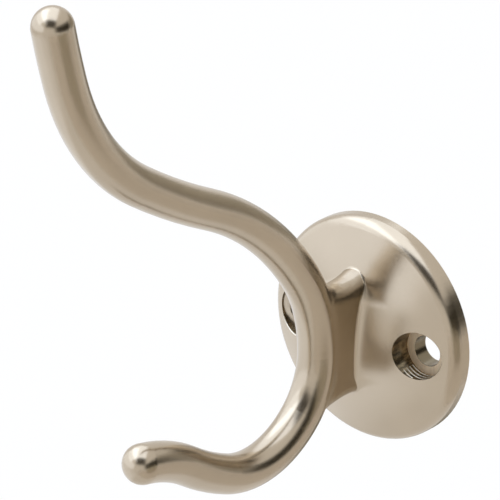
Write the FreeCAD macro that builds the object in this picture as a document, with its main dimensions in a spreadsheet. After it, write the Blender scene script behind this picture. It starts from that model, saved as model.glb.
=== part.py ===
import FreeCAD, Part
import math
import os

import Sketcher

# Double robe hook: one casting, a domed round wall plate, a short neck and an S-shaped round bar.
# Millimetres, +Z up. The origin is the centre of the plate's back face on the wall, the front is -Y,
# and the whole piece is symmetric about the plane X = 0.

Vector = FreeCAD.Vector

# Driving sizes in millimetres and degrees: (name, value, meaning)
SIZES = [
    ("plate_dia", 44.45, "wall plate diameter"),
    ("plate_edge", 1.8, "height of the plate's straight rim"),
    ("rim_radius", 2.75, "rounding from the rim to the crown"),
    ("plate_height", 8.7, "plate thickness at its centre"),
    ("hole_edge", 7.475, "centre of a screw hole to the plate's rim"),
    ("hole_dia", 6.0, "screw hole"),
    ("head_dia", 9.5, "counterbore for the screw head"),
    ("head_seat", 3.1, "metal left under the screw head"),
    ("bar_dia", 7.5, "bar diameter"),
    ("bar_reach", 17.25, "wall to the bar's centre line where the bar stands upright"),
    ("bar_rise", 0.35, "height of that point over the plate's centre"),
    ("arm_back_radius", 30.4, "upper arm: first bend away from the wall"),
    ("arm_back_angle", 34.4, "its turn"),
    ("arm_rise_radius", 62.6, "upper arm: slow bend to its flattest slope"),
    ("arm_rise_angle", 30.0, "its turn"),
    ("arm_turn_radius", 148.0, "upper arm: start of the turn upwards"),
    ("arm_turn_angle", 8.0, "its turn"),
    ("arm_crook_radius", 42.7, "upper arm: main turn upwards"),
    ("arm_crook_angle", 40.4, "its turn"),
    ("arm_end_radius", 146.5, "upper arm: last slow bend"),
    ("arm_end_angle", 4.3, "its turn"),
    ("prong_back_radius", 16.25, "lower prong: first bend away from the wall"),
    ("prong_back_angle", 45.0, "its turn"),
    ("prong_dip_radius", 19.1, "lower prong: round its lowest point"),
    ("prong_dip_angle", 67.2, "its turn"),
    ("prong_lift_radius", 53.5, "lower prong: slow bend upwards"),
    ("prong_lift_angle", 12.3, "its turn"),
    ("prong_lip_radius", 32.0, "lower prong: bend back towards level"),
    ("prong_lip_angle", 23.3, "its turn"),
    ("tip_run", 0.2, "straight run of the bar before each round tip"),
    ("root_top", 14.7, "top of the neck's root over the plate's centre"),
    ("root_drop", 12.0, "bottom of the neck's root below the plate's centre"),
    ("root_top_margin", 0.65, "how much tighter the root's top rounding is than the bar's"),
    ("root_bottom_margin", 1.95, "the same for its bottom rounding"),
    ("waist_gap", 5.75, "neck's waist to the bar's centre line"),
    ("waist_top", 12.7, "top of the neck's waist over the plate's centre"),
    ("waist_drop", 11.1, "bottom of the neck's waist below the plate's centre"),
    ("waist_top_margin", 0.55, "how much tighter the waist's top rounding is than the bar's"),
    ("waist_bottom_margin", 1.35, "the same for its bottom rounding"),
    ("front_inset", 1.75, "how far the neck's front lies past the bar's centre line"),
    ("front_tilt", 4.0, "lean of the neck's front, bottom away from the wall"),
    ("front_top", 14.2, "top of the neck's front over the plate's centre"),
    ("front_drop", 12.5, "bottom of the neck's front below the plate's centre"),
    ("front_top_margin", 0.8, "how much tighter the front's top rounding is than the bar's"),
    ("front_bottom_margin", 0.8, "the same for its bottom rounding"),
    ("blend_radius", 6.5, "fillet between the neck and the bar, at most the gap that the neck bridges"),
    ("root_fillet", 0.5, "fillet between the neck and the plate"),
]

# The bends of each half of the bar, from the upright point outwards. A turn of 1 is to the left and -1 to
# the right for someone who walks along the path with the wall on the right of the sketch.
ARM_BENDS = [("arm_back", 1), ("arm_rise", 1), ("arm_turn", -1), ("arm_crook", -1), ("arm_end", -1)]
PRONG_BENDS = [("prong_back", -1), ("prong_dip", -1), ("prong_lift", -1), ("prong_lip", 1)]


class Point:
    """Numbers of a curve's points in a sketch."""
    START = 1
    END = 2
    CENTRE = 3


class Axis:
    """Sketcher's numbers for the axes of a sketch."""
    HORIZONTAL = -1
    VERTICAL = -2


doc = FreeCAD.newDocument("robe_hook")
sheet = doc.addObject("Spreadsheet::Sheet", "Sizes")
size = {}
for row, (name, value, meaning) in enumerate(SIZES, start=1):
    sheet.set(f"A{row}", name)
    sheet.set(f"B{row}", str(value))
    sheet.set(f"C{row}", meaning)
    sheet.setAlias(f"B{row}", name)
    size[name] = value
doc.recompute()

body = doc.addObject("PartDesign::Body", "robe_hook")
body.Label = "robe_hook"


def new_sketch(name, role, offset=None, tilt=None):
    """A sketch on one of the body's origin planes, moved along the plane's normal and leant back."""
    sketch = body.newObject("Sketcher::SketchObject", name)
    plane = next(plane for plane in body.Origin.OriginFeatures if plane.Role == role)
    sketch.AttachmentSupport = [(plane, "")]
    sketch.MapMode = "FlatFace"
    if tilt:
        sketch.AttachmentOffset = FreeCAD.Placement(Vector(), FreeCAD.Rotation(Vector(-1, 0, 0), size[tilt]))
        sketch.setExpression("AttachmentOffset.Rotation.Angle", f"Sizes.{tilt} * 1 deg")
    if offset:
        sketch.setExpression("AttachmentOffset.Base.z", offset)
    return sketch


def line(sketch, start, end):
    return sketch.addGeometry(Part.LineSegment(start, end), False)


def circle(sketch, centre, radius):
    return sketch.addGeometry(Part.Circle(centre, Vector(0, 0, 1), radius), False)


def arc(sketch, centre, radius, first, last):
    curve = Part.Circle(centre, Vector(0, 0, 1), radius)
    return sketch.addGeometry(Part.ArcOfCircle(curve, first, last), False)


def fix(sketch, *constraint):
    sketch.addConstraint(Sketcher.Constraint(*constraint))


def dimension(sketch, name, expression, *constraint):
    """Adds a named dimension and binds it to the sheet."""
    index = sketch.addConstraint(Sketcher.Constraint(*constraint))
    sketch.renameConstraint(index, name)
    sketch.setExpression(f"Constraints.{name}", expression)


def finish(feature):
    """Recomputes the document, and stops if the new feature failed."""
    doc.recompute()
    if {"Invalid", "Error"} & set(feature.State) or feature.Shape.isNull():
        raise RuntimeError(f"{feature.Name} failed: {feature.State}")
    return feature


# Wall plate: a straight rim, a rounded shoulder and a spherical crown, turned about the plate's axis
def make_plate():
    sketch = new_sketch("plate_profile", "YZ_Plane")
    radius, edge, height = size["plate_dia"] / 2, size["plate_edge"], size["plate_height"]
    rim_radius = size["rim_radius"]
    inner, rise = radius - rim_radius, height - edge
    crown_radius = (inner**2 + rise**2 - rim_radius**2) / (2 * (rise - rim_radius))
    slope = math.asin(inner / (crown_radius - rim_radius))
    centre, corner, shoulder = Vector(0, 0, 0), Vector(0, radius, 0), Vector(-edge, radius, 0)
    back = line(sketch, centre, corner)
    rim = line(sketch, corner, shoulder)
    rounding = arc(sketch, Vector(-edge, inner, 0), rim_radius, math.pi / 2, math.pi - slope)
    crown = arc(sketch, Vector(crown_radius - height, 0, 0), crown_radius, math.pi - slope, math.pi)
    axis = line(sketch, Vector(-height, 0, 0), centre)
    fix(sketch, "Coincident", back, Point.START, Axis.HORIZONTAL, Point.START)
    fix(sketch, "Coincident", back, Point.END, rim, Point.START)
    fix(sketch, "Tangent", rim, Point.END, rounding, Point.START)
    fix(sketch, "Tangent", rounding, Point.END, crown, Point.START)
    fix(sketch, "Coincident", crown, Point.END, axis, Point.START)
    fix(sketch, "Coincident", axis, Point.END, back, Point.START)
    fix(sketch, "Vertical", back)
    fix(sketch, "Horizontal", rim)
    fix(sketch, "Horizontal", axis)
    fix(sketch, "PointOnObject", crown, Point.CENTRE, Axis.HORIZONTAL)
    dimension(sketch, "radius", "Sizes.plate_dia / 2", "DistanceY", back, Point.START, back, Point.END, radius)
    dimension(sketch, "edge", "Sizes.plate_edge", "DistanceX", rim, Point.END, rim, Point.START, edge)
    dimension(sketch, "rim_radius", "Sizes.rim_radius", "Radius", rounding, rim_radius)
    dimension(sketch, "height", "Sizes.plate_height", "DistanceX", axis, Point.START, axis, Point.END, height)
    plate = body.newObject("PartDesign::Revolution", "plate")
    plate.Profile = sketch
    plate.ReferenceAxis = (sketch, ["H_Axis"])
    plate.Angle = 360
    return finish(plate)


def slot_section(name, offset, tilt=None):
    """A tall slot with round ends, on a plane that faces the wall. Its sizes start with its name."""
    sketch = new_sketch(f"neck_{name}", "XZ_Plane", offset, tilt)
    upper_rule = f"Sizes.bar_dia / 2 - Sizes.{name}_top_margin"
    lower_rule = f"Sizes.bar_dia / 2 - Sizes.{name}_bottom_margin"
    upper = size["bar_dia"] / 2 - size[f"{name}_top_margin"]
    lower = size["bar_dia"] / 2 - size[f"{name}_bottom_margin"]
    high = Vector(0, size[f"{name}_top"] - upper, 0)
    low = Vector(0, lower - size[f"{name}_drop"], 0)
    lean = math.asin((upper - lower) / (high.y - low.y))
    right_side = Vector(math.cos(lean), math.sin(lean), 0)
    left_side = Vector(-math.cos(lean), math.sin(lean), 0)
    right = line(sketch, low + right_side * lower, high + right_side * upper)
    cap = arc(sketch, high, upper, lean, math.pi - lean)
    left = line(sketch, high + left_side * upper, low + left_side * lower)
    foot = arc(sketch, low, lower, math.pi - lean, 2 * math.pi + lean)
    for first, second in ((right, cap), (cap, left), (left, foot), (foot, right)):
        fix(sketch, "Tangent", first, Point.END, second, Point.START)
    fix(sketch, "PointOnObject", cap, Point.CENTRE, Axis.VERTICAL)
    fix(sketch, "PointOnObject", foot, Point.CENTRE, Axis.VERTICAL)
    dimension(sketch, "cap_radius", upper_rule, "Radius", cap, upper)
    dimension(sketch, "foot_radius", lower_rule, "Radius", foot, lower)
    dimension(sketch, "cap_height", f"Sizes.{name}_top - ({upper_rule})",
              "DistanceY", Axis.HORIZONTAL, Point.START, cap, Point.CENTRE, high.y)
    dimension(sketch, "foot_depth", f"Sizes.{name}_drop - ({lower_rule})",
              "DistanceY", foot, Point.CENTRE, Axis.HORIZONTAL, Point.START, -low.y)
    return sketch


# Neck: a web that starts inside the plate, narrows at its waist and ends inside the bar
def make_neck():
    neck = body.newObject("PartDesign::AdditiveLoft", "neck")
    neck.Profile = slot_section("root", "Sizes.plate_height / 2")
    neck.Sections = [
        slot_section("waist", "Sizes.bar_reach - Sizes.waist_gap"),
        slot_section("front", "Sizes.bar_reach + Sizes.front_inset", "front_tilt"),
    ]
    return finish(neck)


def bend_path(name, heading, bends):
    """A chain of tangent arcs from the bar's upright point, ended by a short straight run."""
    sketch = new_sketch(name, "YZ_Plane")
    place = Vector(-size["bar_reach"], size["bar_rise"], 0)
    previous = None
    for bend, turn in bends:
        radius = size[f"{bend}_radius"]
        angle = math.radians(size[f"{bend}_angle"])
        inward = Vector(-math.sin(heading), math.cos(heading), 0) * turn
        centre = place + inward * radius
        first = math.atan2(-inward.y, -inward.x)
        last = first + turn * angle
        curve = arc(sketch, centre, radius, min(first, last), max(first, last))
        near, far = (Point.START, Point.END) if turn > 0 else (Point.END, Point.START)
        if previous is None:
            fix(sketch, "Horizontal", curve, near, curve, Point.CENTRE)
            dimension(sketch, "reach", "Sizes.bar_reach",
                      "DistanceX", curve, near, Axis.HORIZONTAL, Point.START, size["bar_reach"])
            dimension(sketch, "rise", "Sizes.bar_rise",
                      "DistanceY", Axis.HORIZONTAL, Point.START, curve, near, size["bar_rise"])
        else:
            fix(sketch, "Tangent", *previous, curve, near)
        dimension(sketch, f"{bend}_radius", f"Sizes.{bend}_radius", "Radius", curve, radius)
        dimension(sketch, f"{bend}_angle", f"Sizes.{bend}_angle * 1 deg", "Angle", curve, angle)
        previous = (curve, far)
        heading += turn * angle
        place = centre + Vector(math.cos(last), math.sin(last), 0) * radius
    run = line(sketch, place, place + Vector(math.cos(heading), math.sin(heading), 0) * size["tip_run"])
    fix(sketch, "Tangent", *previous, run, Point.START)
    dimension(sketch, "tip_run", "Sizes.tip_run", "Distance", run, size["tip_run"])
    doc.recompute()
    end = sketch.Placement.multVec(sketch.getPoint(run, Point.END))
    corners = [vertex.Point.distanceToPoint(end) for vertex in sketch.Shape.Vertexes]
    return sketch, f"Vertex{corners.index(min(corners)) + 1}"


def sweep(name, section, path, path_end):
    """Half of the bar, closed by a ball at the end of its path."""
    half = body.newObject("PartDesign::AdditivePipe", name)
    half.Profile = section
    half.Spine = path
    finish(half)
    tip = body.newObject("PartDesign::AdditiveSphere", f"{name}_tip")
    tip.setExpression("Radius", "Sizes.bar_dia / 2")
    tip.AttachmentSupport = [(path, path_end)]
    tip.MapMode = "Translate"
    return finish(tip)


# Bar: one round section, swept up and down from the point where the bar stands upright
def make_bar():
    section = new_sketch("bar_section", "XY_Plane", "Sizes.bar_rise")
    outline = circle(section, Vector(0, -size["bar_reach"], 0), size["bar_dia"] / 2)
    fix(section, "PointOnObject", outline, Point.CENTRE, Axis.VERTICAL)
    dimension(section, "dia", "Sizes.bar_dia", "Diameter", outline, size["bar_dia"])
    dimension(section, "reach", "Sizes.bar_reach",
              "DistanceY", outline, Point.CENTRE, Axis.HORIZONTAL, Point.START, size["bar_reach"])
    sweep("arm", section, *bend_path("arm_path", math.pi / 2, ARM_BENDS))
    return sweep("prong", section, *bend_path("prong_path", -math.pi / 2, PRONG_BENDS))


def kinds_beside(shape, edge):
    """The kinds of surface that meet at an edge."""
    return [type(face.Surface).__name__ for face in shape.ancestorsOfType(edge, Part.Face)]


def round_edges(name, base, wanted, expression):
    """Fillets the edges of a feature that a test picks."""
    shape = base.Shape
    names = [f"Edge{number}" for number, edge in enumerate(shape.Edges, start=1) if wanted(shape, edge)]
    fillet = body.newObject("PartDesign::Fillet", name)
    fillet.Base = (base, names)
    fillet.setExpression("Radius", expression)
    return finish(fillet)


def is_blend_edge(shape, edge):
    kinds = kinds_beside(shape, edge)
    return kinds.count("Toroid") == 1 and not {"Sphere", "Cylinder"} & set(kinds) and len(kinds) == 2


def is_root_edge(shape, edge):
    kinds = kinds_beside(shape, edge)
    return kinds.count("Sphere") == 1 and not {"Toroid", "Cylinder"} & set(kinds) and len(kinds) == 2


def bore_pair(name, offset, diameter):
    """Two round pockets on a level line, cut from a plane parallel to the wall out through the front."""
    sketch = new_sketch(f"{name}_outline", "XZ_Plane", offset)
    reach = size["plate_dia"] / 2 - size["hole_edge"]
    right = circle(sketch, Vector(reach, 0, 0), size[diameter] / 2)
    left = circle(sketch, Vector(-reach, 0, 0), size[diameter] / 2)
    fix(sketch, "PointOnObject", right, Point.CENTRE, Axis.HORIZONTAL)
    fix(sketch, "Symmetric", left, Point.CENTRE, right, Point.CENTRE, Axis.VERTICAL)
    fix(sketch, "Equal", left, right)
    dimension(sketch, "dia", f"Sizes.{diameter}", "Diameter", right, size[diameter])
    dimension(sketch, "reach", "Sizes.plate_dia / 2 - Sizes.hole_edge",
              "DistanceX", Axis.HORIZONTAL, Point.START, right, Point.CENTRE, reach)
    before = body.Shape.Volume
    pocket = body.newObject("PartDesign::Pocket", name)
    pocket.Profile = sketch
    pocket.Type = "ThroughAll"
    pocket.Reversed = True
    finish(pocket)
    if pocket.Shape.Volume > before - 1:
        raise RuntimeError(f"{name} cut nothing")
    return pocket


make_plate()
make_neck()
casting = make_bar()
neck_gap = "Sizes.bar_reach - Sizes.bar_dia / 2 - Sizes.plate_height"
casting = round_edges("neck_blend", casting, is_blend_edge, f"min(Sizes.blend_radius; {neck_gap})")
round_edges("neck_root_fillet", casting, is_root_edge, "Sizes.root_fillet")
bore_pair("screw_holes", "0", "hole_dia")
bore_pair("head_bores", "Sizes.head_seat", "head_dia")

for item in doc.Objects:
    if {"Invalid", "Error"} & set(item.State):
        raise RuntimeError(f"{item.Name} failed: {item.State}")
if not body.Shape.isValid() or len(body.Shape.Solids) != 1:
    raise RuntimeError("the hook is not one valid solid")

os.makedirs("parts", exist_ok=True)
body.Shape.exportStep(f"parts/{body.Label}.step")
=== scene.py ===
import math

import bmesh
import bpy
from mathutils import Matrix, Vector


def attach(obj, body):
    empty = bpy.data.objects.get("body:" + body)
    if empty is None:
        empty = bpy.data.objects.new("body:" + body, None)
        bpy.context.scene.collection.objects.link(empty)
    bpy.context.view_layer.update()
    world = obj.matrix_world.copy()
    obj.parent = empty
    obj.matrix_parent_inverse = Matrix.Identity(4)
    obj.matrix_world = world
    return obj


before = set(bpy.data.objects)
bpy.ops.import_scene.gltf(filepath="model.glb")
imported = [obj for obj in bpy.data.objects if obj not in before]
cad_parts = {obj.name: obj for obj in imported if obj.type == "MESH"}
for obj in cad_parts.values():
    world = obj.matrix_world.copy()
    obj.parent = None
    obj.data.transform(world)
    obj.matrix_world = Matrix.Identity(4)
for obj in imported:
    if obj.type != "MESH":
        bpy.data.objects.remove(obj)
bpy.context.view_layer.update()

bl_info = {
    "name": "Double Robe Hook",
    "version": (1, 0, 0),
    "blender": (4, 5, 0),
    "location": "View3D > Sidebar > Robe Hook",
    "description": "Finishes a cast double robe hook and sets it in a plain studio",
    "category": "Object",
}

CASTING = "robe_hook"
FINISH_SLOT = "satin_nickel"
# Lengths that tell the faces of a screw hole from each other, and its mouth from the crown
FACE_MARGIN, MOUTH_MARGIN = 0.00005, 0.00002
# Edges of the small pieces that are sharper than this stay sharp
SHARP_EDGE = math.radians(35)


# Settings that a user would change
class RobeHookFinish(bpy.types.PropertyGroup):
    nickel: bpy.props.FloatVectorProperty(
        name="Nickel", description="Colour of the satin nickel plating", subtype="COLOR",
        size=3, min=0, max=1, default=(0.46, 0.385, 0.29))
    roughness: bpy.props.FloatProperty(
        name="Roughness", description="Blur of the satin finish", subtype="FACTOR",
        min=0, max=1, default=0.24)
    brush_depth: bpy.props.FloatProperty(
        name="Brush depth", description="Depth of the brushing marks", unit="LENGTH",
        min=0, precision=7, default=0.0000006)
    # Walls and bores of the screw holes: painted shade, a dark colour in place of the shade inside the holes
    hole_shade: bpy.props.FloatVectorProperty(
        name="Shaded metal", description="Colour of the machined walls in the screw holes", subtype="COLOR",
        size=3, min=0, max=1, default=(0.16, 0.13, 0.085))
    faced: bpy.props.FloatVectorProperty(
        name="Faced metal", description="Colour of the flat seats under the screw heads", subtype="COLOR",
        size=3, min=0, max=1, default=(0.95, 0.74, 0.5))
    # Ridges and lip: a colour brighter than the plating, partly wear and partly a painted highlight
    wear_and_highlight: bpy.props.FloatVectorProperty(
        name="Worn_and_highlit metal", description="Colour of the edges that the cutter left bright", subtype="COLOR",
        size=3, min=0, max=1, default=(0.76, 0.69, 0.57))


class RobeHookHoles(bpy.types.PropertyGroup):
    hole_offset: bpy.props.FloatProperty(
        name="Hole offset", description="Plate's centre to a screw hole", unit="LENGTH", default=0.01475)
    head_radius: bpy.props.FloatProperty(
        name="Head radius", description="Counterbore for the screw head", unit="LENGTH", default=0.00475)
    bore_radius: bpy.props.FloatProperty(
        name="Bore radius", description="Screw hole through the plate", unit="LENGTH", default=0.003)
    seat: bpy.props.FloatProperty(
        name="Seat", description="Metal left under the screw head", unit="LENGTH", default=0.0031)
    left_facing: bpy.props.FloatProperty(
        name="Left facing", description="Metal left under the screw head in the left hole", unit="LENGTH",
        default=0.0045)
    crown_radius: bpy.props.FloatProperty(
        name="Crown radius", description="Radius of the plate's crown", unit="LENGTH", default=0.050521)
    plate_height: bpy.props.FloatProperty(
        name="Plate height", description="Plate's thickness at its centre", unit="LENGTH", default=0.0087)
    ridge_pitch: bpy.props.FloatProperty(
        name="Ridge pitch", description="Spacing of the ridges that the cutter left", unit="LENGTH",
        default=0.0009)
    ridge_count: bpy.props.IntProperty(
        name="Ridges", description="Ridges on the lower wall of the right hole", min=1, default=4)
    ridge_radius: bpy.props.FloatProperty(
        name="Ridge radius", description="Half width of a ridge", unit="LENGTH", precision=5, default=0.00013)
    ridge_top: bpy.props.FloatProperty(
        name="Ridge top", description="Wall to the ridge that is nearest the mouth", unit="LENGTH",
        default=0.0063)
    ridge_start: bpy.props.FloatProperty(
        name="Ridge start", description="Angle at which a ridge starts", subtype="ANGLE",
        default=math.radians(230))
    ridge_sweep: bpy.props.FloatProperty(
        name="Ridge sweep", description="Angle that a ridge covers", subtype="ANGLE", default=math.radians(90))
    lip_radius: bpy.props.FloatProperty(
        name="Lip radius", description="Half width of the left hole's bright lip", unit="LENGTH", precision=5,
        default=0.00014)
    lip_start: bpy.props.FloatProperty(
        name="Lip start", description="Angle at which the left hole's bright lip starts", subtype="ANGLE",
        default=math.radians(212))
    lip_sweep: bpy.props.FloatProperty(
        name="Lip sweep", description="Angle that the bright lip covers", subtype="ANGLE",
        default=math.radians(62))


class RobeHookRoot(bpy.types.PropertyGroup):
    sweep_height: bpy.props.FloatProperty(
        name="Sweep height", description="Reach of the hollow rounding up the neck's side",
        unit="LENGTH", min=0.0006, default=0.0013)
    sweep_width: bpy.props.FloatProperty(
        name="Sweep width", description="Reach of the hollow rounding over the crown",
        unit="LENGTH", min=0.0006, default=0.006)
    bottom: bpy.props.FloatProperty(
        name="Sweep bottom", description="Lower end of the hollow rounding", unit="LENGTH", default=-0.0108)
    top: bpy.props.FloatProperty(
        name="Sweep top", description="Upper end of the hollow rounding", unit="LENGTH", default=0.0118)


class RobeHookStage(bpy.types.PropertyGroup):
    azimuth: bpy.props.FloatProperty(
        name="Azimuth", description="Camera's turn round the hook from straight ahead",
        subtype="ANGLE", default=math.radians(41.4))
    elevation: bpy.props.FloatProperty(
        name="Elevation", description="Camera's height over the hook",
        subtype="ANGLE", default=math.radians(23.9))
    distance: bpy.props.FloatProperty(
        name="Distance", description="Camera to the centre of the plate's back",
        unit="LENGTH", default=0.7408)
    aside: bpy.props.FloatProperty(
        name="Aside", description="Camera's shift to the left of the plate's centre",
        unit="LENGTH", default=0.02387)
    above: bpy.props.FloatProperty(
        name="Above", description="Camera's shift above the plate's centre",
        unit="LENGTH", default=0.01381)
    lens: bpy.props.FloatProperty(
        name="Lens", description="Focal length", unit="CAMERA", default=283.55)
    floor_drop: bpy.props.FloatProperty(
        name="Floor drop", description="Floor below the plate's centre", unit="LENGTH", default=0.3)
    card_reach: bpy.props.FloatProperty(
        name="Card reach", description="Hook to the lamps and cards round it", unit="LENGTH", default=2.0)
    low_card_reach: bpy.props.FloatProperty(
        name="Low card reach", description="Hook to the lamps and cards between it and the floor",
        unit="LENGTH", default=0.3)


# Node helpers
def new_material(name):
    material = bpy.data.materials.new(name)
    material.use_nodes = True
    tree = material.node_tree
    return material, tree, tree.nodes["Principled BSDF"]


def add_node(tree, kind, **inputs):
    node = tree.nodes.new(kind)
    for name, value in inputs.items():
        node.inputs[name].default_value = value
    return node


def math_node(tree, operation, *values):
    """Output of a maths node, whose inputs are numbers or the outputs of other nodes."""
    node = tree.nodes.new("ShaderNodeMath")
    node.operation = operation
    for socket, value in zip(node.inputs, values):
        if isinstance(value, (int, float)):
            socket.default_value = value
        else:
            tree.links.new(value, socket)
    return node.outputs[0]


def shade(colour, share):
    return [channel * share for channel in colour]


def tone_ramp(tree, factor, dark, light, low=0.3, high=0.7):
    """Runs from the dark to the light colour as the factor goes from low to high."""
    ramp = tree.nodes.new("ShaderNodeValToRGB")
    for stop, position, colour in zip(ramp.color_ramp.elements, (low, high), (dark, light)):
        stop.position = position
        stop.color = (*colour, 1)
    tree.links.new(factor, ramp.inputs["Fac"])
    return ramp.outputs["Color"]


def streaks(tree, coords, turn, scale):
    """Noise drawn out into streaks."""
    mapping = tree.nodes.new("ShaderNodeMapping")
    mapping.inputs["Rotation"].default_value = turn
    mapping.inputs["Scale"].default_value = scale
    tree.links.new(coords, mapping.inputs["Vector"])
    noise = add_node(tree, "ShaderNodeTexNoise", Scale=1.0, Detail=3.0)
    tree.links.new(mapping.outputs["Vector"], noise.inputs["Vector"])
    return noise.outputs["Fac"]


def hole_masks(tree, coords, holes):
    """1 inside a screw hole, 1 on the flat seat under a screw head, and 1 in the bore below it."""
    parts = tree.nodes.new("ShaderNodeSeparateXYZ")
    tree.links.new(coords, parts.inputs["Vector"])
    depth, level = parts.outputs["Y"], parts.outputs["Z"]
    side = math_node(tree, "ABSOLUTE", parts.outputs["X"])
    aside = math_node(tree, "SUBTRACT", side, holes.hole_offset)
    off_axis = math_node(tree, "SQRT", math_node(
        tree, "ADD", math_node(tree, "MULTIPLY", aside, aside), math_node(tree, "MULTIPLY", level, level)))
    off_back = math_node(tree, "LESS_THAN", depth, -FACE_MARGIN)
    in_mouth = math_node(tree, "LESS_THAN", off_axis, holes.head_radius + MOUTH_MARGIN)
    inside = math_node(tree, "MULTIPLY", off_back, in_mouth)
    past_bore = math_node(tree, "GREATER_THAN", off_axis, holes.bore_radius + FACE_MARGIN)
    at_seat = math_node(tree, "GREATER_THAN", depth, -holes.seat - FACE_MARGIN)
    seat = math_node(tree, "MULTIPLY", math_node(tree, "MULTIPLY", past_bore, at_seat), inside)
    bore = math_node(tree, "SUBTRACT", inside, math_node(tree, "MULTIPLY", past_bore, inside))
    return inside, seat, bore


def mix_colour(tree, factor, first, second):
    mix = tree.nodes.new("ShaderNodeMix")
    mix.data_type = "RGBA"
    tree.links.new(factor, mix.inputs["Factor"])
    tree.links.new(first, mix.inputs["A"])
    tree.links.new(second, mix.inputs["B"])
    return mix.outputs["Result"]


# Satin nickel: small changes of tone over the plating, fine marks of hand brushing, and inside the screw holes
# scratched walls and plain bores whose dark colour is painted shade, and flat seats that are rougher and more
# matt than the rest
BRUSH_BLUR = 0.1
SEAT_BLUR = 0.25
SEAT_MATT = 0.7


def satin_nickel(finish, holes):
    material, tree, shader = new_material(FINISH_SLOT)
    coords = tree.nodes.new("ShaderNodeTexCoord").outputs["Object"]
    inside, seat, bore = hole_masks(tree, coords, holes)
    clouds = add_node(tree, "ShaderNodeTexNoise", Scale=60.0, Detail=4.0)
    tree.links.new(coords, clouds.inputs["Vector"])
    plating = tone_ramp(tree, clouds.outputs["Fac"], shade(finish.nickel, 0.96), shade(finish.nickel, 1.04))
    scratches = streaks(tree, coords, (0.0, 0.6, 0.5), (3200.0, 500.0, 700.0))
    # Hole walls: painted shade, a dark colour with lighter scratch streaks
    shaded = tone_ramp(tree, scratches, shade(finish.hole_shade, 0.45), shade(finish.hole_shade, 2.2), 0.35, 0.68)
    # Bores: painted shade, a plain dark colour
    turned = tone_ramp(tree, clouds.outputs["Fac"], shade(finish.hole_shade, 1.1), shade(finish.hole_shade, 1.3))
    faced = tone_ramp(tree, scratches, shade(finish.faced, 0.86), finish.faced)
    colour = plating
    for mask, tone in ((inside, shaded), (bore, turned), (seat, faced)):
        colour = mix_colour(tree, mask, colour, tone)
    tree.links.new(colour, shader.inputs["Base Color"])
    brushing = streaks(tree, coords, (0.0, 0.0, 0.35), (2600.0, 260.0, 2600.0))
    blur = math_node(tree, "MULTIPLY_ADD", brushing, BRUSH_BLUR, finish.roughness - BRUSH_BLUR / 2)
    rougher = math_node(tree, "MULTIPLY_ADD", seat, SEAT_BLUR, blur)
    tree.links.new(rougher, shader.inputs["Roughness"])
    matt = math_node(tree, "MULTIPLY", seat, SEAT_MATT)
    tree.links.new(math_node(tree, "SUBTRACT", 1.0, matt), shader.inputs["Metallic"])
    bump = add_node(tree, "ShaderNodeBump", Strength=1.0, Distance=finish.brush_depth)
    tree.links.new(brushing, bump.inputs["Height"])
    tree.links.new(bump.outputs["Normal"], shader.inputs["Normal"])
    return material


def spotted_metal(name, colour):
    """Metal of the given colour, with small darker spots."""
    material, tree, shader = new_material(name)
    coords = tree.nodes.new("ShaderNodeTexCoord").outputs["Object"]
    wear = streaks(tree, coords, (0.0, 0.0, 0.0), (1500.0, 1500.0, 1500.0))
    tone = tone_ramp(tree, wear, shade(colour, 0.8), colour)
    tree.links.new(tone, shader.inputs["Base Color"])
    shader.inputs["Metallic"].default_value = 1.0
    shader.inputs["Roughness"].default_value = 0.3
    return material


# Screw hole marks: the ridges that the cutter left on the lower wall of the right hole, cut off under the
# crown, and the bright lip where the left hole breaks through the crown. Their colour is brighter than the
# plating, partly wear and partly a painted highlight. A ridge stays this many times its radius under the crown.
RIDGE_COVER = 1.5


def add_socket(tree, name, kind, low=None):
    socket = tree.interface.new_socket(name, in_out="INPUT", socket_type=kind)
    if low is not None:
        socket.min_value = low
    return socket.identifier


def arc_over_hole(tree, given, side, start, sweep):
    """An arc on the wall of one hole, in the plane of the wall plate's back."""
    arc = tree.nodes.new("GeometryNodeCurveArc")
    arc.inputs["Resolution"].default_value = 48
    for name, source in (("Radius", "Head Radius"), ("Start Angle", start), ("Sweep Angle", sweep)):
        tree.links.new(given.outputs[source], arc.inputs[name])
    offset = tree.nodes.new("ShaderNodeCombineXYZ")
    tree.links.new(math_node(tree, "MULTIPLY", given.outputs["Hole Offset"], side), offset.inputs["X"])
    stand = tree.nodes.new("GeometryNodeTransform")
    stand.inputs["Rotation"].default_value = (math.pi / 2, 0, 0)
    tree.links.new(arc.outputs["Curve"], stand.inputs["Geometry"])
    tree.links.new(offset.outputs["Vector"], stand.inputs["Translation"])
    return stand.outputs["Geometry"]


def crown_height(tree, given):
    """Height of the plate's crown over the wall at each point, and the point's own place along that axis."""
    place = tree.nodes.new("GeometryNodeInputPosition")
    parts = tree.nodes.new("ShaderNodeSeparateXYZ")
    tree.links.new(place.outputs["Position"], parts.inputs["Vector"])
    across = math_node(tree, "MULTIPLY", parts.outputs["X"], parts.outputs["X"])
    along = math_node(tree, "MULTIPLY", parts.outputs["Z"], parts.outputs["Z"])
    radius = given.outputs["Crown Radius"]
    depth = math_node(tree, "SUBTRACT", math_node(tree, "MULTIPLY", radius, radius),
                      math_node(tree, "ADD", across, along))
    centre = math_node(tree, "SUBTRACT", given.outputs["Plate Height"], radius)
    return math_node(tree, "ADD", math_node(tree, "SQRT", depth), centre), parts.outputs["Y"]


def tube(tree, curve, radius):
    ring = tree.nodes.new("GeometryNodeCurvePrimitiveCircle")
    ring.inputs["Resolution"].default_value = 8
    tree.links.new(radius, ring.inputs["Radius"])
    sweep = tree.nodes.new("GeometryNodeCurveToMesh")
    sweep.inputs["Fill Caps"].default_value = True
    tree.links.new(curve, sweep.inputs["Curve"])
    tree.links.new(ring.outputs["Curve"], sweep.inputs["Profile Curve"])
    return sweep.outputs["Mesh"]


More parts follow.
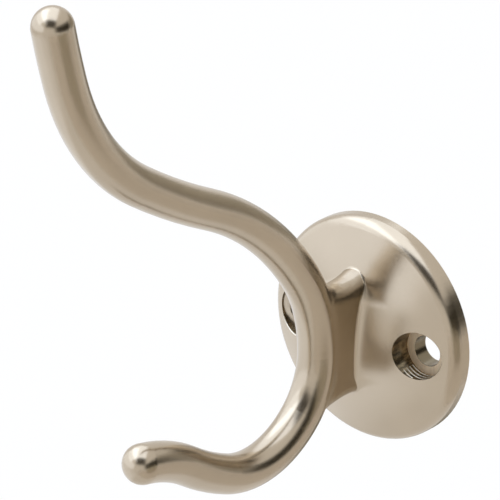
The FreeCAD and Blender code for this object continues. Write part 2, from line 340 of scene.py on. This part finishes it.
def hole_marks_tree(sizes, count):
    """The node tree, and the identifier of each named input."""
    tree = bpy.data.node_groups.new("hole_marks", "GeometryNodeTree")
    tree.interface.new_socket("Geometry", in_out="OUTPUT", socket_type="NodeSocketGeometry")
    sockets = {name: add_socket(tree, name, "NodeSocketFloat") for name in sizes}
    sockets[count] = add_socket(tree, count, "NodeSocketInt", 1)
    sockets["Material"] = add_socket(tree, "Material", "NodeSocketMaterial")
    given = tree.nodes.new("NodeGroupInput")
    result = tree.nodes.new("NodeGroupOutput")
    # Ridges
    rows = tree.nodes.new("GeometryNodeMeshLine")
    tree.links.new(given.outputs[count], rows.inputs["Count"])
    for name, source, sign in (("Start Location", "Ridge Top", -1.0), ("Offset", "Ridge Pitch", 1.0)):
        shift = tree.nodes.new("ShaderNodeCombineXYZ")
        tree.links.new(math_node(tree, "MULTIPLY", given.outputs[source], sign), shift.inputs["Y"])
        tree.links.new(shift.outputs["Vector"], rows.inputs[name])
    repeat = tree.nodes.new("GeometryNodeInstanceOnPoints")
    tree.links.new(rows.outputs["Mesh"], repeat.inputs["Points"])
    tree.links.new(arc_over_hole(tree, given, 1.0, "Ridge Start", "Ridge Sweep"), repeat.inputs["Instance"])
    loose = tree.nodes.new("GeometryNodeRealizeInstances")
    tree.links.new(repeat.outputs["Instances"], loose.inputs["Geometry"])
    height, place = crown_height(tree, given)
    room = math_node(tree, "ADD", height, place)
    cover = math_node(tree, "MULTIPLY", given.outputs["Ridge Radius"], RIDGE_COVER)
    cut = tree.nodes.new("GeometryNodeDeleteGeometry")
    cut.domain = "POINT"
    tree.links.new(loose.outputs["Geometry"], cut.inputs["Geometry"])
    tree.links.new(math_node(tree, "LESS_THAN", room, cover), cut.inputs["Selection"])
    ridges = tube(tree, cut.outputs["Geometry"], given.outputs["Ridge Radius"])
    # Lip
    lift = tree.nodes.new("ShaderNodeCombineXYZ")
    tree.links.new(math_node(tree, "MULTIPLY", height, -1.0), lift.inputs["Y"])
    follow = tree.nodes.new("GeometryNodeSetPosition")
    tree.links.new(arc_over_hole(tree, given, -1.0, "Lip Start", "Lip Sweep"), follow.inputs["Geometry"])
    tree.links.new(lift.outputs["Vector"], follow.inputs["Offset"])
    lip = tube(tree, follow.outputs["Geometry"], given.outputs["Lip Radius"])
    join = tree.nodes.new("GeometryNodeJoinGeometry")
    smooth = tree.nodes.new("GeometryNodeSetShadeSmooth")
    realize = tree.nodes.new("GeometryNodeRealizeInstances")
    paint = tree.nodes.new("GeometryNodeSetMaterial")
    for mesh in (ridges, lip):
        tree.links.new(mesh, join.inputs["Geometry"])
    tree.links.new(join.outputs["Geometry"], smooth.inputs["Geometry"])
    tree.links.new(smooth.outputs["Geometry"], realize.inputs["Geometry"])
    tree.links.new(realize.outputs["Geometry"], paint.inputs["Geometry"])
    tree.links.new(given.outputs["Material"], paint.inputs["Material"])
    tree.links.new(paint.outputs["Geometry"], result.inputs["Geometry"])
    return tree, sockets


def plain_mesh(name, tree, values):
    """A plain mesh object that holds what the node tree makes from the values."""
    source = bpy.data.objects.new(name, bpy.data.meshes.new(name))
    bpy.context.scene.collection.objects.link(source)
    modifier = source.modifiers.new(name, "NODES")
    modifier.node_group = tree
    for identifier, value in values.items():
        modifier[identifier] = value
    made = source.evaluated_get(bpy.context.evaluated_depsgraph_get())
    mesh = bpy.data.meshes.new_from_object(made)
    source.modifiers.remove(modifier)
    source.data = mesh
    mesh.name = name
    return source


class ROBEHOOK_OT_casting(bpy.types.Operator):
    """Gives the casting its satin nickel finish"""
    bl_idname = "robehook.casting"
    bl_label = "Finish Casting"

    def execute(self, context):
        finish, holes = context.scene.robe_hook_finish, context.scene.robe_hook_holes
        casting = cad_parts[CASTING]
        casting.data.materials.clear()
        casting.data.materials.append(satin_nickel(finish, holes))
        return {"FINISHED"}


class ROBEHOOK_OT_hole_marks(bpy.types.Operator):
    """Adds the cutter's ridges and the bright lip to the screw holes"""
    bl_idname = "robehook.hole_marks"
    bl_label = "Add Hole Marks"

    def execute(self, context):
        holes = context.scene.robe_hook_holes
        sizes = {
            "Hole Offset": holes.hole_offset, "Head Radius": holes.head_radius,
            "Crown Radius": holes.crown_radius, "Plate Height": holes.plate_height,
            "Ridge Pitch": holes.ridge_pitch, "Ridge Radius": holes.ridge_radius,
            "Ridge Top": holes.ridge_top, "Ridge Start": holes.ridge_start,
            "Ridge Sweep": holes.ridge_sweep, "Lip Radius": holes.lip_radius,
            "Lip Start": holes.lip_start, "Lip Sweep": holes.lip_sweep,
        }
        tree, sockets = hole_marks_tree(sizes, "Ridges")
        values = {sockets[name]: value for name, value in sizes.items()}
        values[sockets["Ridges"]] = holes.ridge_count
        # The ridges and lip get the brighter colour: partly wear, partly a painted highlight
        values[sockets["Material"]] = spotted_metal("spotted_metal", context.scene.robe_hook_finish.wear_and_highlight)
        marks = plain_mesh("hole_marks", tree, values)
        if not marks.data.polygons:
            raise RuntimeError("the screw hole marks have no faces")
        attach(marks, "root")
        return {"FINISHED"}


# Small pieces that lie on the casting
def skin(loops, closed):
    """Corners and faces over a row of equal loops of points. A row that isn't closed gets a cap at each end."""
    wide = len(loops[0])
    corners = [point for loop in loops for point in loop]
    faces = []
    for row in range(len(loops) if closed else len(loops) - 1):
        here, there = row * wide, (row + 1) % len(loops) * wide
        for step in range(wide):
            after = (step + 1) % wide
            faces.append((here + step, here + after, there + after, there + step))
    if not closed:
        faces += [tuple(range(wide)), tuple(range(len(corners) - wide, len(corners)))]
    return corners, faces


def add_closed_piece(name, skins, material):
    """A piece made of closed skins, with its faces turned outwards and its sharp edges kept."""
    form = bmesh.new()
    for corners, faces in skins:
        points = [form.verts.new(corner) for corner in corners]
        for face in faces:
            form.faces.new([points[corner] for corner in face])
    bmesh.ops.recalc_face_normals(form, faces=form.faces)
    mesh = bpy.data.meshes.new(name)
    form.to_mesh(mesh)
    form.free()
    mesh.shade_smooth()
    mesh.set_sharp_from_angle(angle=SHARP_EDGE)
    mesh.materials.append(material)
    piece = bpy.data.objects.new(name, mesh)
    bpy.context.scene.collection.objects.link(piece)
    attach(piece, "root")


# Left seat: the left hole is cut less deep than the right one, so a ring lies on the casting's seat, with its
# hidden sides sunk a little in the metal
SEAT_STEPS = 96
SEAT_SINK = 0.00003


class ROBEHOOK_OT_left_seat(bpy.types.Operator):
    """Adds the higher seat of the left screw hole"""
    bl_idname = "robehook.left_seat"
    bl_label = "Add Left Seat"

    def execute(self, context):
        holes = context.scene.robe_hook_holes
        inner, outer = holes.bore_radius + SEAT_SINK, holes.head_radius + SEAT_SINK
        top, under = holes.left_facing, holes.seat - SEAT_SINK
        edges = ((inner, under), (inner, top), (outer, top), (outer, under))
        turns = [2 * math.pi * step / SEAT_STEPS for step in range(SEAT_STEPS)]
        loops = [[(radius * math.cos(turn) - holes.hole_offset, -height, radius * math.sin(turn))
                  for radius, height in edges] for turn in turns]
        seat_metal = spotted_metal("seat_metal", context.scene.robe_hook_finish.nickel)
        add_closed_piece("left_seat", [skin(loops, True)], seat_metal)
        return {"FINISHED"}


# Root sweep: a hollow rounding on each side of the neck that runs out at its top and bottom. It lies on the
# casting, so its edges are found on the casting's own surface.
SWEEP_ROWS = 72  # spans from bottom to top
SWEEP_STEPS = 14  # spans in one section
SWEEP_END = 0.0004  # reach that is left at the top and bottom
SWEEP_RUN_OUT = 0.18  # share of the length over which each end runs out
SWEEP_SINK = 0.0003  # depth of the hidden edge in the metal
NECK_HALF = 0.004  # about half the neck's width at the crown
NECK_LEAST = 0.0005  # a side nearer the middle than this isn't the neck's
NECK_CLEAR = 0.012  # clear of the neck, where the search for its side starts
LEAN_STEP = 0.0005  # rise over which the lean of the neck's side is taken


def neck_side(casting, height, level):
    """Half width of the neck at a height over the wall and a level."""
    hit, place, _, _ = casting.ray_cast(Vector((NECK_CLEAR, -height, level)), Vector((-1, 0, 0)))
    if not hit or place.x < NECK_LEAST:
        raise RuntimeError("the neck's side was not found")
    return place.x


def crown_at(holes, across, level):
    """Height of the plate's crown over the wall."""
    centre = holes.plate_height - holes.crown_radius
    return centre + math.sqrt(holes.crown_radius ** 2 - across ** 2 - level ** 2)


def sweep_section(casting, holes, height, width, level):
    """Points of one hollow section from the neck's side down to the crown, and one hidden in the metal."""
    foot = crown_at(holes, NECK_HALF, level)
    start_height = foot + height
    start = neck_side(casting, start_height, level)
    lean = (neck_side(casting, start_height + LEAN_STEP, level) - start) / LEAN_STEP
    end = start + width
    end_height = crown_at(holes, end, level)
    slope = -end / (end_height + holes.crown_radius - holes.plate_height)
    # The corner where the lines along the neck and along the crown meet
    corner = start
    if lean:
        corner = (end_height - start_height + start / lean - slope * end) / (1 / lean - slope)
    corner_height = end_height + slope * (corner - end)
    points = []
    for step in range(SWEEP_STEPS + 1):
        share = step / SWEEP_STEPS
        weights = ((1 - share) ** 2, 2 * share * (1 - share), share ** 2)
        across = sum(weight * x for weight, x in zip(weights, (start, corner, end)))
        up = sum(weight * rise for weight, rise in zip(weights, (start_height, corner_height, end_height)))
        points.append((across, -up, level))
    points.append((start - SWEEP_SINK, SWEEP_SINK - foot, level))
    return points


class ROBEHOOK_OT_root_sweep(bpy.types.Operator):
    """Adds the hollow rounding between the neck's sides and the plate"""
    bl_idname = "robehook.root_sweep"
    bl_label = "Add Root Sweep"

    def execute(self, context):
        root, holes = context.scene.robe_hook_root, context.scene.robe_hook_holes
        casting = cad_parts[CASTING]
        sections = []
        for row in range(SWEEP_ROWS + 1):
            share = row / SWEEP_ROWS
            level = root.bottom + (root.top - root.bottom) * share
            near_end = min(share, 1 - share, SWEEP_RUN_OUT) / SWEEP_RUN_OUT
            ease = near_end * near_end * (3 - 2 * near_end)
            height = SWEEP_END + (root.sweep_height - SWEEP_END) * ease
            width = SWEEP_END + (root.sweep_width - SWEEP_END) * ease
            sections.append(sweep_section(casting, holes, height, width, level))
        mirrored = [[(-x, y, z) for x, y, z in section] for section in sections]
        skins = [skin(sections, False), skin(mirrored, False)]
        add_closed_piece("root_sweep", skins, casting.data.materials[0])
        return {"FINISHED"}


# Stage: a white floor and world, cool lamps on the left, and matt cards that the metal reflects
LAMP_COLOUR = (0.82, 0.98, 1.26)
CARD_FADE = 0.3  # share of a card's width and height over which it fades out, at each edge
WORLD_FILL = 0.5  # strength of the white for matt surfaces, where camera and metal see 1
FLOOR_HALF = 8.0
FLOOR_GLOW = 0.96  # share of its own white in the floor that camera and metal see


def direction(azimuth, elevation):
    """A unit vector from the hook, by degrees round from straight ahead and up."""
    turn, rise = math.radians(azimuth), math.radians(elevation)
    return Vector((math.sin(turn) * math.cos(rise), -math.cos(turn) * math.cos(rise), math.sin(rise)))


def face_hook(obj, away, reach):
    """Puts an object at that direction and reach, with its -Z side towards the hook."""
    obj.location = away * reach
    obj.rotation_euler = (-away).to_track_quat("-Z", "Y").to_euler()


def span(angle, reach):
    """Length that covers the angle at that reach."""
    return 2 * reach * math.tan(math.radians(angle) / 2)


def add_softbox(name, azimuth, elevation, wide, tall, radiance, reach):
    """A cool lamp that adds its radiance to the white that lies behind it."""
    lamp = bpy.data.lights.new(name, "AREA")
    lamp.color = LAMP_COLOUR
    lamp.shape = "RECTANGLE"
    lamp.size = span(wide, reach)
    lamp.size_y = span(tall, reach)
    lamp.energy = radiance * math.pi * lamp.size * lamp.size_y
    softbox = bpy.data.objects.new(name, lamp)
    bpy.context.scene.collection.objects.link(softbox)
    face_hook(softbox, direction(azimuth, elevation), reach)
    softbox.visible_camera = False


def add_sheet(name, wide, tall, level, material):
    """A flat rectangle, with a UV map that covers it once."""
    places = ((0, 0), (1, 0), (1, 1), (0, 1))
    mesh = bpy.data.meshes.new(name)
    mesh.from_pydata([((u - 0.5) * wide, (v - 0.5) * tall, level) for u, v in places], [], [(0, 1, 2, 3)])
    outline = mesh.uv_layers.new(name="outline")
    for loop, place in zip(outline.data, places):
        loop.uv = place
    mesh.materials.append(material)
    sheet = bpy.data.objects.new(name, mesh)
    bpy.context.scene.collection.objects.link(sheet)
    return sheet


def add_card(name, azimuth, elevation, wide, tall, material, reach):
    card = add_sheet(name, span(wide, reach), span(tall, reach), 0, material)
    face_hook(card, direction(azimuth, elevation), reach)
    card.visible_camera = False


def card_material(name, colour):
    """A matt card that fades out towards its edges."""
    material, tree, shader = new_material(name)
    shader.inputs["Base Color"].default_value = (*colour, 1)
    shader.inputs["Roughness"].default_value = 1.0
    shader.inputs["Specular IOR Level"].default_value = 0.0
    place = tree.nodes.new("ShaderNodeSeparateXYZ")
    tree.links.new(tree.nodes.new("ShaderNodeTexCoord").outputs["UV"], place.inputs["Vector"])
    cover = []
    for axis in ("X", "Y"):
        centred = math_node(tree, "SUBTRACT", place.outputs[axis], 0.5)
        edge = add_node(tree, "ShaderNodeMapRange", **{"From Min": 0.5, "From Max": 0.5 - CARD_FADE})
        edge.interpolation_type = "SMOOTHSTEP"
        tree.links.new(math_node(tree, "ABSOLUTE", centred), edge.inputs["Value"])
        cover.append(edge.outputs["Result"])
    mix = tree.nodes.new("ShaderNodeMixShader")
    tree.links.new(math_node(tree, "MULTIPLY", *cover), mix.inputs["Fac"])
    tree.links.new(tree.nodes.new("ShaderNodeBsdfTransparent").outputs["BSDF"], mix.inputs[1])
    tree.links.new(shader.outputs["BSDF"], mix.inputs[2])
    tree.links.new(mix.outputs["Shader"], tree.nodes["Material Output"].inputs["Surface"])
    return material


def seen_directly(tree):
    """1 for rays from the camera, and for those that metal or glass sends on."""
    path = tree.nodes.new("ShaderNodeLightPath")
    glossy = math_node(tree, "MAXIMUM", path.outputs["Is Glossy Ray"], path.outputs["Is Transmission Ray"])
    return math_node(tree, "MAXIMUM", path.outputs["Is Camera Ray"], glossy)


def make_world():
    world = bpy.data.worlds.new("studio")
    bpy.context.scene.world = world
    world.use_nodes = True
    tree = world.node_tree
    background = tree.nodes["Background"]
    background.inputs["Color"].default_value = (1, 1, 1, 1)
    strength = math_node(tree, "MULTIPLY_ADD", seen_directly(tree), 1 - WORLD_FILL, WORLD_FILL)
    tree.links.new(strength, background.inputs["Strength"])


def make_floor(drop):
    material, tree, shader = new_material("floor_white")
    shader.inputs["Base Color"].default_value = (0.9, 0.9, 0.9, 1)
    shader.inputs["Roughness"].default_value = 1.0
    glow = add_node(tree, "ShaderNodeEmission", Strength=1.0)
    mix = tree.nodes.new("ShaderNodeMixShader")
    share = math_node(tree, "MULTIPLY", seen_directly(tree), FLOOR_GLOW)
    tree.links.new(share, mix.inputs["Fac"])
    tree.links.new(shader.outputs["BSDF"], mix.inputs[1])
    tree.links.new(glow.outputs["Emission"], mix.inputs[2])
    tree.links.new(mix.outputs["Shader"], tree.nodes["Material Output"].inputs["Surface"])
    floor = add_sheet("floor", 2 * FLOOR_HALF, 2 * FLOOR_HALF, -drop, material)


def make_camera(stage):
    camera_data = bpy.data.cameras.new("camera")
    camera_data.lens = stage.lens
    camera_data.sensor_width = 36.0
    camera_data.clip_start = 0.01
    camera_data.clip_end = 100.0
    camera = bpy.data.objects.new("camera", camera_data)
    bpy.context.scene.collection.objects.link(camera)
    back = direction(math.degrees(stage.azimuth), math.degrees(stage.elevation))
    right = Vector((math.cos(stage.azimuth), math.sin(stage.azimuth), 0))
    up = back.cross(right)
    camera.location = back * stage.distance - right * stage.aside + up * stage.above
    camera.rotation_euler = (-back).to_track_quat("-Z", "Y").to_euler()
    bpy.context.scene.camera = camera


class ROBEHOOK_OT_stage(bpy.types.Operator):
    """Sets up the world, the floor, the lamps, the cards and the camera"""
    bl_idname = "robehook.stage"
    bl_label = "Set Stage"

    def execute(self, context):
        stage = context.scene.robe_hook_stage
        reach = stage.card_reach
        near = stage.low_card_reach
        context.scene.view_settings.view_transform = "Standard"
        make_world()
        make_floor(stage.floor_drop)
        # Lamps and cards: degrees round, up, wide and tall as the hook sees them
        add_softbox("key", -62, 46, 66, 46, 1.0, reach)
        add_softbox("sky", -50, 78, 110, 66, 1.05, reach * 1.2)
        add_softbox("fill_front", -50, 8, 92, 34, 0.6, reach)
        add_softbox("fill_low", -60, -32, 104, 50, 0.15, near)
        add_softbox("fill_low_inner", -64, -32, 76, 40, 0.15, near)
        black = card_material("card_black", (0.035, 0.027, 0.012))
        grey = card_material("card_grey", (0.1, 0.084, 0.062))
        umber = card_material("card_umber", (0.25, 0.21, 0.14))
        olive = card_material("card_olive", (0.24, 0.2, 0.12))
        khaki = card_material("card_khaki", (0.52, 0.44, 0.315))
        drab = card_material("card_drab", (0.6, 0.52, 0.39))
        beige = card_material("card_beige", (0.78, 0.67, 0.54))
        add_card("card_front", 31, 40, 68, 52, grey, reach)
        add_card("card_side", 102, 11, 112, 48, black, reach)
        add_card("card_low", 90, -38, 140, 76, beige, near)
        add_card("card_arm", 80, -11, 66, 34, khaki, near * 0.9)
        add_card("card_back", -163, -13, 44, 32, umber, near)
        add_card("card_rear", 170, 6, 60, 44, drab, reach)
        add_card("card_low_back", -168, -32, 56, 44, olive, near * 1.05)
        make_camera(stage)
        return {"FINISHED"}


class ROBEHOOK_PT_panel(bpy.types.Panel):
    """Sizes, finish and stage of the robe hook"""
    bl_idname = "ROBEHOOK_PT_panel"
    bl_label = "Robe Hook"
    bl_space_type = "VIEW_3D"
    bl_region_type = "UI"
    bl_category = "Robe Hook"

    def draw(self, context):
        scene = context.scene
        groups = (scene.robe_hook_finish, scene.robe_hook_holes, scene.robe_hook_root, scene.robe_hook_stage)
        for group in groups:
            for name in group.bl_rna.properties.keys():
                if name not in ("rna_type", "name"):
                    self.layout.prop(group, name)
        for operator in OPERATORS:
            self.layout.operator(operator.bl_idname)


OPERATORS = (ROBEHOOK_OT_casting, ROBEHOOK_OT_hole_marks, ROBEHOOK_OT_left_seat, ROBEHOOK_OT_root_sweep,
             ROBEHOOK_OT_stage)
CLASSES = (RobeHookFinish, RobeHookHoles, RobeHookRoot, RobeHookStage, *OPERATORS, ROBEHOOK_PT_panel)


def register():
    for cls in CLASSES:
        bpy.utils.register_class(cls)
    bpy.types.Scene.robe_hook_finish = bpy.props.PointerProperty(type=RobeHookFinish)
    bpy.types.Scene.robe_hook_holes = bpy.props.PointerProperty(type=RobeHookHoles)
    bpy.types.Scene.robe_hook_root = bpy.props.PointerProperty(type=RobeHookRoot)
    bpy.types.Scene.robe_hook_stage = bpy.props.PointerProperty(type=RobeHookStage)


def unregister():
    del bpy.types.Scene.robe_hook_stage
    del bpy.types.Scene.robe_hook_root
    del bpy.types.Scene.robe_hook_holes
    del bpy.types.Scene.robe_hook_finish
    for cls in reversed(CLASSES):
        bpy.utils.unregister_class(cls)


def main():
    register()
    bpy.ops.robehook.casting()
    bpy.ops.robehook.hole_marks()
    bpy.ops.robehook.left_seat()
    bpy.ops.robehook.root_sweep()
    bpy.ops.robehook.stage()


if __name__ == "__main__":
    main()
